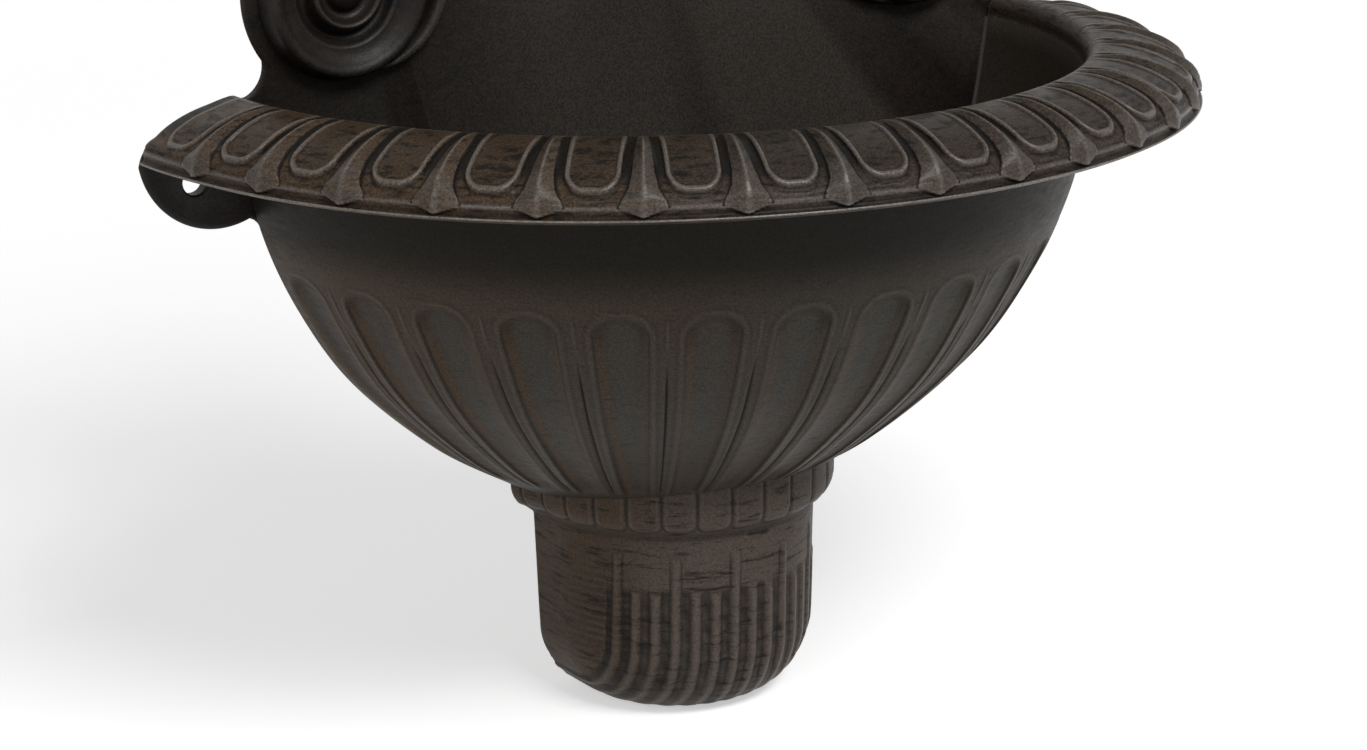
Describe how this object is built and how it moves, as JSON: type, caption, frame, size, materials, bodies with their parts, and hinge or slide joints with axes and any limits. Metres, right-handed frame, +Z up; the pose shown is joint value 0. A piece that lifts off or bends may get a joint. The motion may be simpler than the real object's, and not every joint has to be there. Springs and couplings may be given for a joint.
{
  "type": "garden wall fountain",
  "caption": "Cast iron garden wall fountain: scrolled back plate with a brass tap, half round fluted basin with a tongue and dart rim, lift-out plug and a reeded corbel.",
  "frame": {"origin": "midway between the two wall holes in the ears of the back plate, on the wall plane", "axes": "+Z up, -Y out of the wall towards the user, +X to the right seen from the front"},
  "size_m": [0.543, 0.3051, 0.742],
  "materials": {
    "cast_iron": "dark brown and black antique patina, satin, grey worn edges",
    "brass": "aged satin brass",
    "zinc_steel": "zinc plated",
    "seal_rubber": "matt black",
    "fibre": "red vulcanised fibre"
  },
  "bodies": {
    "root": {"back_plate": "cast_iron", "basin": "cast_iron", "corbel": "cast_iron", "basin_gasket": "seal_rubber", "basin_screws": "zinc_steel", "basin_washers": "zinc_steel", "basin_nuts": "zinc_steel", "corbel_screws": "zinc_steel", "corbel_washers": "zinc_steel", "corbel_nuts": "zinc_steel", "drain_flange": "brass", "drain_upper_seal": "seal_rubber", "drain_lower_seal": "seal_rubber", "drain_locknut": "brass", "drain_pipe": "brass", "drain_cap_nut": "brass", "tap_body": "brass", "tap_rosette": "brass", "tap_fibre_washer": "fibre", "tap_backnut": "brass", "bonnet_washer": "fibre", "tap_bonnet": "brass", "gland_packing": "fibre", "gland_nut": "brass"},
    "valve": {"tap_jumper": "brass", "jumper_washer": "seal_rubber"},
    "tap_head": {"tap_spindle": "brass", "tap_handle": "brass", "handle_screw": "brass"},
    "plug": {"drain_plug": "seal_rubber", "plug_ring": "brass"}
  },
  "joints": [
    {"name": "valve_lift", "type": "slide", "parent": "root", "child": "valve", "axis": [0, 0, 1], "range_m": [0, 0.003]},
    {"name": "tap_turn", "type": "hinge", "parent": "valve", "child": "tap_head", "pos_m": [0, -0.072, 0.2275], "axis": [0, 0, 1], "range_deg": [0, 540]},
    {"name": "plug_lift", "type": "slide", "parent": "root", "child": "plug", "axis": [0, 0, 1], "range_m": [0, 0.04]}
  ],
  "couplings": [
    {"joint": "tap_turn", "follows": "valve_lift", "rad_per_m": 3141.6}
  ]
}
